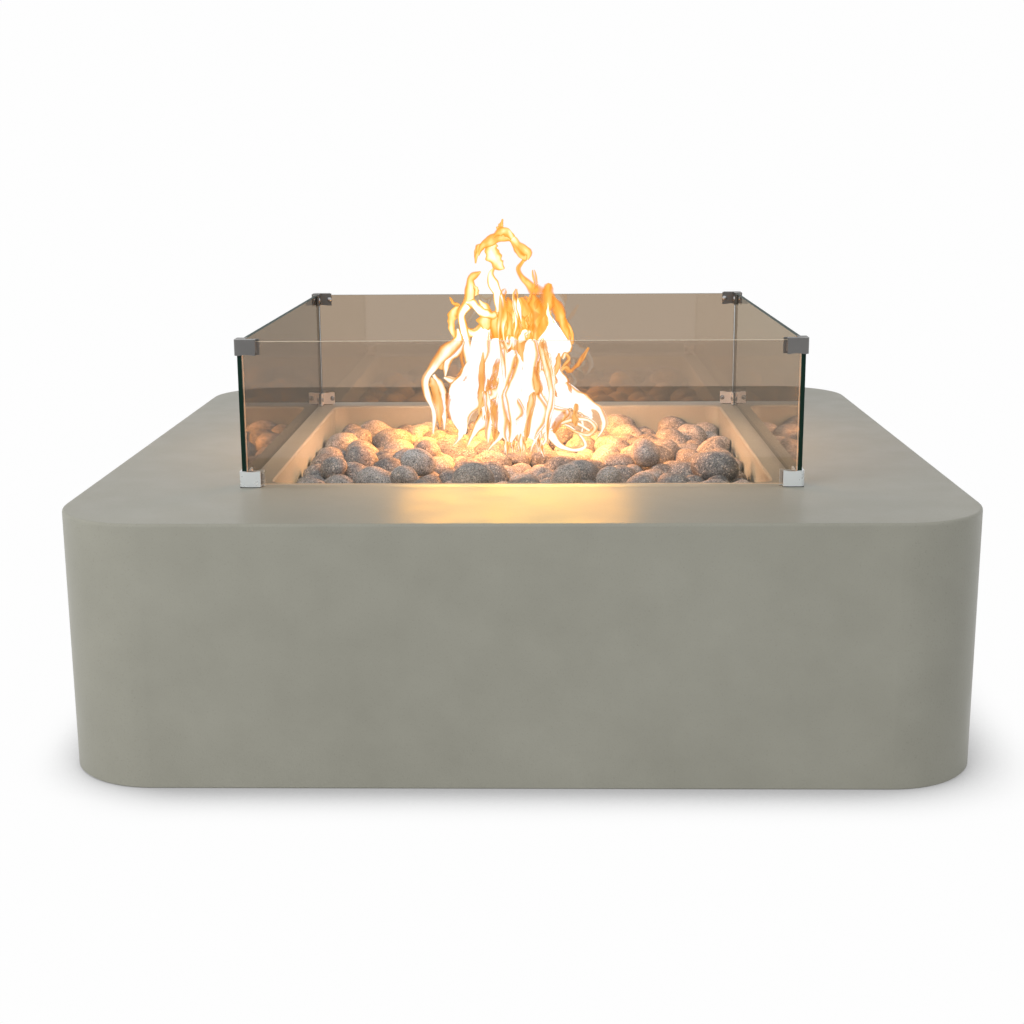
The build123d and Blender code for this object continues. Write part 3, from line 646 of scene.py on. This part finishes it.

# %% [markdown]
# The strands that make the outline are drawn as an illustrator would, in
# millimetres: across, up, and half the width. A left lobe leans out and back, a
# spike with a hole under it stands beside it, a torn arch crowns the middle, and a
# low web of thin strands ends at the right. Tendrils reach down between the stones.
# Broad white sheets fill them, and orange veils close the space behind. Thin tongues
# in front show where the white has torn open. Each strand lists its heat first.
# %% Strands listed
bright, yellow, amber = (0.85, 0.88, 0.72), (0.72, 0.62, 0.48), (0.46, 0.42, 0.34)
cooling = (1.0, 0.9, 0.8, 0.75, 0.55, 0.48, 0.42, 0.36)
outline = [
    # left lobe: outer edge, inner edge, streak, bridge to the body, tendril in its hole
    (bright, ((-148, 368, 2), (-145, 402, 5), (-155, 429, 6), (-159, 456, 6), (-145, 478, 9),
              (-124, 502, 11), (-105, 521, 9), (-106, 538, 2))),
    (bright, ((-132, 370, 3), (-132, 411, 6), (-136, 437, 7), (-148, 460, 4))),
    (bright, ((-129, 458, 3), (-125, 481, 6), (-107, 501, 8), (-101, 520, 5))),
    (bright, ((-131, 456, 4), (-110, 451, 7), (-90, 459, 11), (-82, 482, 9))),
    (amber, ((-108, 461, 2), (-99, 472, 3), (-102, 492, 3), (-98, 514, 1))),
    # the spike at the left with its hook, its loop, and the films beside it
    (cooling, ((-84, 470, 15), (-93, 512, 10), (-99, 543, 7), (-100, 561, 7), (-89, 580, 9),
               (-86, 600, 9), (-86, 615, 7), (-77, 622, 5), (-69, 627, 1))),
    (yellow, ((-92, 579, 5), (-80, 576, 7), (-68, 565, 7), (-52, 558, 7), (-38, 562, 3))),
    (bright, ((-98, 541, 4), (-92, 529, 7), (-80, 527, 9), (-66, 536, 9), (-50, 528, 12))),
    (amber, ((-104, 575, 3), (-115, 558, 7), (-118, 541, 6), (-112, 520, 2))),
    (amber, ((-103, 574, 3), (-113, 577, 3), (-119, 587, 1))),
    (amber, ((-78, 590, 2), (-75, 597, 4), (-80, 607, 2))),
    # the spike in the middle
    ((0.35, 0.5, 1.0, 0.9, 0.55, 0.4), ((-42, 520, 13), (-46, 548, 9), (-37, 569, 9), (-41, 592, 9),
                                        (-50, 609, 8), (-52, 623, 5), (-48, 632, 2))),
    # the torn arch: left leg, top band, bulge, tip, hook, inner edge, and the link down
    (amber, ((-31, 631, 3), (-41, 638, 10), (-48, 652, 12), (-52, 665, 11), (-50, 677, 5))),
    (amber, ((-72, 652, 2), (-66, 667, 6), (-51, 677, 8), (-34, 681, 7), (-19, 680, 7), (-10, 669, 8),
             (1, 661, 8), (8, 655, 6), (6, 646, 2))),
    (amber, ((-47, 682, 3), (-38, 691, 7), (-26, 690, 7), (-17, 681, 5))),
    (amber, ((-41, 693, 5), (-36, 700, 4), (-33, 710, 1))),
    (amber, ((-60, 668, 5), (-70, 665, 6), (-76, 655, 4), (-77, 640, 1))),
    (amber, ((-18, 674, 4), (-10, 660, 5), (0, 650, 6), (7, 651, 3))),
    (amber, ((6, 653, 4), (-4, 639, 4), (-9, 630, 4), (-3, 618, 5), (7, 607, 8), (21, 597, 10),
             (34, 597, 9), (43, 605, 2))),
    # the spike at the right, its bright line, and the films outside it
    (amber, ((31, 500, 14), (33, 541, 14), (32, 563, 14), (35, 586, 15), (39, 600, 11), (42, 608, 3))),
    (bright, ((44, 536, 7), (40, 558, 5), (38, 578, 1))),
    (amber, ((72, 520, 4), (64, 543, 8), (58, 558, 11), (51, 578, 9), (46, 590, 2))),
    (amber, ((78, 512, 3), (76, 528, 4), (66, 552, 3), (60, 568, 1))),
    # curls at the right
    (amber, ((58, 466, 3), (66, 474, 4), (74, 468, 4), (82, 474, 4), (92, 486, 4), (104, 506, 2))),
    (yellow, ((62, 492, 3), (66, 500, 4), (72, 492, 3), (66, 484, 3), (60, 478, 1))),
    # the slope down to the right and its web of thin strands
    (bright, ((88, 430, 9), (104, 414, 9), (122, 405, 6), (131, 386, 5), (128, 370, 3), (120, 358, 1))),
    (bright, ((60, 386, 5), (80, 393, 4), (103, 393, 4), (115, 380, 4), (104, 369, 4), (86, 372, 3),
              (68, 380, 2))),
    (bright, ((94, 394, 3), (95, 378, 2), (94, 364, 1))),
    (yellow, ((72, 390, 3), (96, 376, 3), (120, 362, 1))),
    # branches and tendrils between the pebbles
    (bright, ((-26, 440, 26), (-46, 412, 19), (-65, 388, 12), (-82, 366, 6), (-95, 343, 1))),
    (bright, ((-26, 396, 9), (-35, 368, 6), (-50, 350, 4), (-62, 334, 1))),
    (bright, ((-27, 390, 8), (-30, 354, 4), (-33, 332, 1))),
    (bright, ((-18, 388, 14), (-8, 362, 7), (-1, 345, 4), (-12, 337, 1))),
    (bright, ((20, 376, 12), (19, 356, 5), (10, 331, 1))),
    (bright, ((22, 368, 6), (24, 334, 1))),
    (bright, ((34, 378, 15), (45, 360, 8), (60, 344, 5), (82, 337, 4), (99, 344, 3), (92, 360, 2),
              (74, 376, 2), (58, 382, 1))),
    (bright, ((-108, 392, 10), (-102, 372, 7), (-108, 358, 3), (-116, 348, 1))),
]
# body: broad sheets, white-hot almost to their edges
hot = (1.15, 1.2, 1.1)
body = [
    (hot, ((-96, 372, 13), (-101, 405, 21), (-97, 432, 27), (-84, 462, 20), (-74, 492, 15),
           (-68, 520, 15), (-58, 537, 5))),
    (hot, ((-34, 376, 10), (-38, 396, 28), (-40, 424, 42), (-42, 455, 38), (-44, 486, 26),
           (-44, 506, 17), (-46, 523, 5))),
    (hot, ((20, 358, 10), (17, 378, 30), (14, 404, 44), (11, 434, 48), (7, 462, 40), (4, 480, 26),
           (2, 494, 6))),
    (hot, ((46, 386, 8), (50, 408, 24), (48, 436, 27), (43, 464, 19), (43, 490, 19), (48, 512, 29),
           (46, 530, 17), (43, 552, 4))),
    (hot, ((40, 420, 24), (66, 428, 24), (88, 418, 17), (103, 402, 8), (110, 392, 2))),
    (hot, ((-8, 368, 20), (-12, 400, 52), (-14, 436, 60), (-16, 466, 36), (-18, 486, 8))),
]
# veils: orange sheets that close the gap between the spikes
cool = (0.30, 0.44, 0.42, 0.34)
veils = [
    (cool, ((-38, 496, 17), (-38, 536, 19), (-28, 556, 18), (-24, 574, 12), (-26, 587, 2))),
    (cool, ((-12, 478, 20), (-10, 518, 27), (-4, 552, 28), (-2, 572, 20), (-6, 586, 4))),
    (cool, ((13, 480, 16), (15, 530, 20), (20, 560, 18), (18, 580, 12), (14, 590, 2))),
    (cool, ((-62, 532, 10), (-60, 552, 14), (-62, 568, 9), (-72, 582, 1))),
    (cool, ((-139, 374, 4), (-140, 411, 9), (-147, 443, 8), (-152, 456, 2))),
    (cool, ((-122, 470, 4), (-136, 474, 10), (-120, 494, 7), (-108, 512, 2))),
]
# gaps: thin orange tongues in front of the white body, where it has torn open
torn = (0.30, 0.34, 0.30)
gaps = [
    (torn, ((-12, 459, 2), (-11, 468, 6), (-15, 480, 2))),
    (torn, ((18, 451, 1), (20, 466, 4), (25, 480, 4), (27, 494, 2))),
    (torn, ((-68, 416, 2), (-58, 430, 7), (-56, 446, 5), (-57, 462, 1))),
    (torn, ((-27, 416, 1), (-23, 426, 3), (-25, 437, 1))),
    (torn, ((23, 431, 1), (27, 421, 3), (30, 412, 1))),
    (torn, ((44, 451, 1), (48, 441, 4), (53, 432, 1))),
    (torn, ((48, 374, 3), (54, 390, 9), (60, 403, 6), (66, 408, 1))),
    (torn, ((-72, 404, 2), (-70, 430, 5), (-67, 455, 6), (-66, 482, 5), (-64, 504, 1))),
    (torn, ((-119, 396, 3), (-117, 416, 9), (-123, 438, 3))),
    (torn, ((50, 466, 1), (54, 484, 5), (56, 502, 2))),
    (torn, ((-104, 446, 1), (-96, 456, 3), (-88, 470, 1))),
]
print("strands drawn:", len(outline) + len(body) + len(veils) + len(gaps))

# %% [markdown]
# From the side a flat drawing would be a thin line. So the drawing is used three
# times, in upright planes that cross at the middle. The other two are narrower and
# lower, and each strand of them leans its own way. They leave out half of the
# outline and of the gaps, and all of the crown, so that they only fill the first.
# %% Build the flame
foot_z, crown_z, tip_z = 0.34, 0.66, 0.71
groups = (
    # strands, thickness, share of the width at the foot, lean, rim, and how far forward
    (outline, 0.0045, 0.50, 0.020, 2.4, 0.0),
    (body, 0.014, 0.25, 0.030, 9.0, 0.0),
    (veils, 0.004, 0.04, 0.030, 2.2, -0.01),
    (gaps, 0.003, 0.50, 0.002, 4.0, 0.048),
)
made = []
number = 0
for azimuth, shrink, leave in ((0.0, 1.0, 0), (radians(64), 0.78, 1), (radians(116), 0.74, 2)):
    for group, thin, foot, deep, rim, forward in groups:
        for index, (heat, line) in enumerate(group):
            number += 1
            drift = np.random.default_rng(100 + number)
            across, up, half = np.array(line, float).T / 1000
            spare = index % 2 == leave - 1 or up.max() > crown_z
            if leave and spare and group in (outline, gaps):
                continue
            lean = drift.normal(0, deep, 2)
            rise = (up - foot_z) / (tip_z - foot_z)
            away = lean[0] * (1 - rise) + lean[1] * rise * 0.5 - forward
            if leave:
                up = foot_z + (up - foot_z) * drift.uniform(0.80, 0.97)
                across = across * shrink + drift.normal(0, 0.006)
            points = np.stack([across, up, away, half], axis=1)
            made.append(strand(points, azimuth, drift.normal(0, 0.4), thin, foot, heat, rim, number))
grids = np.stack([m[0] for m in made])
ends = np.stack([m[1] for m in made])
heats = np.stack([m[2] for m in made])
flame = many_grids("flame_strands", grids, ends, {"warmth": heats})
print("flame strands:", len(made), "faces:", len(flame.data.polygons))

# %% [markdown]
# Burning gas gives light and takes none, so the strands have a black base and shine
# with their own colour. A cool edge is a thin orange film that one can see
# through; the hot middle hides what is behind it.
# %% Flame finish
def flame_finish():
    """Emission and cover by heat: orange film, yellow, then white."""
    material, tree = tree_of("flame")
    heat = add(tree, "Attribute", attribute_name="warmth").outputs["Fac"]
    fold = span(tree, noise(tree, 22.0, 3.0, (1, 1, 0.32)), -0.26, 0.16)
    ripple = span(tree, noise(tree, 75.0, 2.0, (1, 1, 0.4)), -0.07, 0.05)
    drawn = add(tree, "Math", {0: fold, 1: ripple}, operation="ADD").outputs[0]
    warm = add(tree, "Math", {0: heat, 1: drawn}, operation="ADD").outputs[0]
    colour = ramp(
        tree,
        warm,
        (0.00, (0.56, 0.15, 0.012)),
        (0.13, (0.66, 0.23, 0.026)),
        (0.27, (0.76, 0.36, 0.070)),
        (0.40, (0.84, 0.54, 0.190)),
        (0.53, (0.90, 0.78, 0.500)),
        (0.66, (1.00, 1.00, 1.00)),
    )
    cover = span(tree, warm, 0.0, 0.94, -0.10, 0.24)
    principled(
        tree,
        {
            "Base Color": (0, 0, 0, 1),
            "Roughness": 1.0,
            "Specular IOR Level": 0.0,
            "Emission Color": colour,
            "Emission Strength": 1.65,
            "Alpha": cover,
        },
    )
    return material


flame.data.materials.append(flame_finish())
flame.visible_shadow = False
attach(flame, "table")
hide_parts("flame")
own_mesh(flame)

# %% [markdown]
# ## Small screws
# Each corner clip pinches its pane with a screw through the inner leg, and the
# panel and the vents are held by screws at their flange. A domed head is a small
# surface of revolution: its profile is a quarter of an ellipse.
# %% Screw heads
def dome_heads(name, places, directions_out, head, height):
    """A quarter ellipse turned round each direction, from the rim to the crown."""
    profile = np.linspace(0.04, 1.0, 6)
    across, up = np.cos(profile * np.pi / 2), np.sin(profile * np.pi / 2)
    across = np.concatenate([[1.0], across])[:-1]
    up = np.concatenate([[-0.4], up])[:-1]
    turn_ = 2 * np.pi * np.arange(14) / 14
    grids, poles = [], []
    for place, out in zip(places, directions_out):
        out = Vector(out)
        side = out.orthogonal().normalized()
        other = out.cross(side)
        basis = np.array([side, other, out])
        local = np.stack(
            [
                head * across[:, None] * np.cos(turn_),
                head * across[:, None] * np.sin(turn_),
                np.repeat(height * up[:, None], 14, 1),
            ],
            axis=-1,
        )
        grids.append(local @ basis + np.array(place))
        poles.append(np.array([[0, 0, -0.4 * height], [0, 0, height]]) @ basis + np.array(place))
    return many_grids(name, np.stack(grids), np.stack(poles))


clip_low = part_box("clips_bottom")
clip_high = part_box("clips_top")
pane_in = {"x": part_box("glass_right")[0].x, "y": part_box("glass_back")[0].y}
leg_face, from_corner = 0.004, 0.020
guard_screws, guard_out = [], []
for low, high in (clip_low, clip_high):
    level = (low.z + high.z) / 2
    for sx in (-1, 1):
        for sy in (-1, 1):
            on_x = (sx * (pane_in["x"] - leg_face), sy * (pane_in["y"] - from_corner), level)
            on_y = (sx * (pane_in["x"] - from_corner), sy * (pane_in["y"] - leg_face), level)
            guard_screws += [on_x, on_y]
            guard_out += [(-sx, 0, 0), (0, -sy, 0)]
guard_heads = dome_heads("guard_screws", guard_screws, guard_out, 0.0045, 0.0022)
guard_heads.data.materials.append(finishes["spring_steel"])
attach(guard_heads, "wind_guard")

panel_low, panel_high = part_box("control_panel")
inset = 0.007
panel_screws, panel_out = [], []
for x in (panel_low.x + inset, panel_high.x - inset):
    for z in (panel_low.z + inset, panel_high.z - inset):
        panel_screws.append((x, panel_high.y, z))
        panel_out.append((0, 1, 0))
for vent, side in (("vent_left", -1), ("vent_right", 1)):
    low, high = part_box(vent)
    for y in (low.y + inset, high.y - inset):
        for z in (low.z + inset, high.z - inset):
            panel_screws.append((low.x if side < 0 else high.x, y, z))
            panel_out.append((side, 0, 0))
panel_heads = dome_heads("flange_screws", panel_screws, panel_out, 0.0036, 0.0018)
panel_heads.data.materials.append(finishes["zinc_steel"])
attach(panel_heads, "table")
print("screws:", len(guard_screws) + len(panel_screws))

# %% [markdown]
# ## Springs
# A compression spring pushes the gas valve's plunger and the igniter's button back
# out. Each is one wire wound in a helix. Its end turns lie flat, so that it stands
# square on its seat.
# %% Coil springs
def coil(name, sleeve, wire, turns):
    """A wire round the helix (R cos a, y, R sin a), where a runs through the turns. Its
    height y follows smoothstep raised to 0.8, which is slow in the end turns."""
    low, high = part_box(sleeve)
    middle = (low + high) / 2
    mean = (high.x - low.x) / 2 - wire
    t = np.linspace(0, 1, turns * 24)
    a = 2 * np.pi * turns * t
    rise = (3 * t**2 - 2 * t**3) ** 0.8
    radial = np.stack([np.cos(a), 0 * a, np.sin(a)], axis=1)
    line = middle.x * np.array([1, 0, 0]) + middle.z * np.array([0, 0, 1]) + mean * radial
    line[:, 1] = low.y + wire + (high.y - low.y - 2 * wire) * rise
    phi = 2 * np.pi * np.arange(8) / 8
    upward = np.array([0, 1, 0])
    ring = np.cos(phi)[None, :, None] * radial[:, None] + np.sin(phi)[None, :, None] * upward
    grid = line[:, None] + wire * ring
    piece = many_grids(name, grid[None], line[[0, -1]][None])
    piece.data.materials.append(finishes["spring_steel"])
    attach(piece, "table")
    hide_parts(sleeve)
    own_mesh(piece)


coil("button_coil", "button_spring", 0.0005, 5)
coil("valve_coil", "valve_spring", 0.0005, 5)

# %% [markdown]
# ## Studio
# The floor is white to the camera and in reflections. A soft shadow hugs the foot
# of the table: the Ambient Occlusion node asks how much of the sky nearby is
# hidden, and darkens the white there, less so on the left where the lamp stands.
# Under the body the white goes dark as painted shade, because it would shine out
# through the vents.
# All other light sees a plain pale floor, and a sky that is dimmer overhead and
# behind the table.
# %% Floor and sky
def white_to_eyes(tree):
    """1 for camera, glossy and transmission rays, else 0."""
    path = add(tree, "LightPath").outputs
    one = add(
        tree, "Math", {0: path["Is Camera Ray"], 1: path["Is Glossy Ray"]}, operation="MAXIMUM"
    ).outputs[0]
    return add(
        tree, "Math", {0: one, 1: path["Is Transmission Ray"]}, operation="MAXIMUM"
    ).outputs[0]


half_floor = 14.0
floor_mesh = bpy.data.meshes.new("floor")
floor_mesh.from_pydata(
    [(x * half_floor, y * half_floor, 0) for x, y in ((-1, -1), (1, -1), (1, 1), (-1, 1))],
    [],
    [(0, 1, 2, 3)],
)
floor = bpy.data.objects.new("floor", floor_mesh)
bpy.context.scene.collection.objects.link(floor)
floor_material, tree = tree_of("studio_floor")
open_sky = add(tree, "AmbientOcclusion", {"Distance": 0.12}, samples=12).outputs["AO"]
place = add(tree, "SeparateXYZ", {0: add(tree, "TexCoord").outputs["Object"]}).outputs
lit_side = span(tree, place["X"], 0.12, 0.0, -0.66, -0.46)
hidden = add(tree, "Math", {0: open_sky, 1: lit_side}, operation="ADD", use_clamp=True).outputs[0]
white = ramp(
    tree,
    hidden,
    (0.50, (0.40, 0.40, 0.40)),
    (0.74, (0.80, 0.80, 0.80)),
    (0.90, (0.97, 0.97, 0.97)),
    (1.00, (0.99, 0.99, 0.99)),
)
far_x = add(tree, "Math", {0: place["X"]}, operation="ABSOLUTE").outputs[0]
far_y = add(tree, "Math", {0: place["Y"]}, operation="ABSOLUTE").outputs[0]
square = add(tree, "Math", {0: far_x, 1: far_y}, operation="MAXIMUM").outputs[0]
diagonal = add(tree, "Math", {0: far_x, 1: far_y}, operation="ADD").outputs[0]
corner = add(tree, "Math", {0: diagonal, 1: 0.55}, operation="MULTIPLY").outputs[0]
beyond = add(tree, "Math", {0: square, 1: corner}, operation="MAXIMUM").outputs[0]
# the floor under the body is painted shade
outside = span(tree, beyond, 0.02, 1.0, 0.54, 0.59)
shown = add(tree, "Emission", {"Color": white, "Strength": outside}).outputs[0]
plain = add(tree, "BsdfDiffuse", {"Color": (0.72, 0.72, 0.72, 1)}).outputs[0]
surface = add(tree, "MixShader", {0: white_to_eyes(tree), 1: plain, 2: shown}).outputs[0]
add(tree, "OutputMaterial", {"Surface": surface})
floor_mesh.materials.append(floor_material)

world = bpy.data.worlds.new("studio")
bpy.context.scene.world = world
world.use_nodes = True
tree = world.node_tree
tree.nodes.clear()
sky_white = add(tree, "Background", {"Color": (1, 1, 1, 1), "Strength": 0.99}).outputs[0]
way = add(tree, "SeparateXYZ", {0: add(tree, "TexCoord").outputs["Generated"]}).outputs
dome = span(tree, way["Z"], 0.92, 0.58, 0.15, 0.95)
back_dim = span(tree, way["Y"], 1.0, 0.60, 0.0, 1.0)
level = add(tree, "Math", {0: dome, 1: back_dim}, operation="MULTIPLY").outputs[0]
sky_light = add(tree, "Background", {"Color": (0.98, 0.99, 1.0, 1), "Strength": level}).outputs[0]
sky = add(tree, "MixShader", {0: white_to_eyes(tree), 1: sky_light, 2: sky_white}).outputs[0]
add(tree, "OutputWorld", {"Surface": sky})
print("floor and sky ready")

# %% [markdown]
# ## Lamps
# One large soft lamp stands at the left of the camera, so that the wall fades a
# little to the right. The fire's light is built up from lamps that each do one job.
# Two warm points low in the flame light everything round them. Three more light
# the pebbles alone, and a cool soft lamp above keeps the near pebbles grey. A spot
# high in the flame lights the well's walls and the top round it, and its cone ends
# before the table's edge. Two ellipses stand before the flame and show only as a
# sheen on the satin concrete. Light linking limits a lamp to some of the pieces.
# None of them follows the knob, so they stay lit when the flame is turned down.
# %% Lamps
def lamp(name, kind, place, energy, colour, size, aim=None):
    """A soft lamp that no mirror shows."""
    data = bpy.data.lights.new(name, kind)
    data.energy = energy
    data.color = colour
    if kind == "AREA":
        data.size = size
    else:
        data.shadow_soft_size = size
    light = bpy.data.objects.new(name, data)
    light.location = place
    if aim:
        light.rotation_euler = (Vector(aim) - Vector(place)).to_track_quat("-Z", "Y").to_euler()
    light.visible_camera = False
    light.visible_glossy = False
    bpy.context.scene.collection.objects.link(light)
    return light


lamp("key", "AREA", (-2.6, -2.6, 2.6), 60.0, (1.0, 0.985, 0.96), 2.4, (0, 0, 0.3))
low_fire = (((-0.09, -0.02, 0.40), 3.4), ((0.09, 0.03, 0.41), 3.0))
for place, energy in low_fire:
    lamp("fire_glow", "POINT", place, energy, (1.0, 0.33, 0.06), 0.04)
bed = bpy.data.collections.new("bed_pieces")
bed.objects.link(stones)
bed_fire = (((0.05, 0.18, 0.43), 5.0), ((-0.14, 0.17, 0.43), 5.0), ((0.27, 0.0, 0.44), 0.8))
for place, energy in bed_fire:
    glow = lamp("bed_glow", "POINT", place, energy, (1.0, 0.36, 0.04), 0.05)
    glow.light_linking.receiver_collection = bed
satin = bpy.data.collections.new("satin_pieces")
satin.objects.link(nodes["concrete_shell"])
above_bed = lamp("bed_sky", "AREA", (-0.35, -0.85, 1.35), 6.5, (0.74, 0.88, 1.0), 0.5, (0, -0.1, 0.36))
above_bed.light_linking.receiver_collection = bed
high_fire = lamp("fire_high", "SPOT", (0, 0, 0.58), 19.0, (1.0, 0.72, 0.50), 0.08)
high_fire.data.spot_size = radians(134)
high_fire.data.spot_blend = 0.10
high_fire.light_linking.receiver_collection = satin
for width, energy, colour in ((0.22, 1.0, (1.0, 0.60, 0.05)), (0.37, 2.0, (1.0, 0.50, 0.06))):
    place = Vector((-0.012, -0.17, 0.47))
    sheen = lamp("fire_sheen", "AREA", place, energy, colour, width, place - Vector((0, 1, 0)))
    sheen.data.shape = "ELLIPSE"
    sheen.data.size_y = 0.26
    sheen.visible_glossy = True
    sheen.visible_diffuse = False
    sheen.light_linking.receiver_collection = satin
bpy.context.scene.cycles.transparent_max_bounces = 64
print("lamps ready, and a ray may pass 64 flame films and panes")
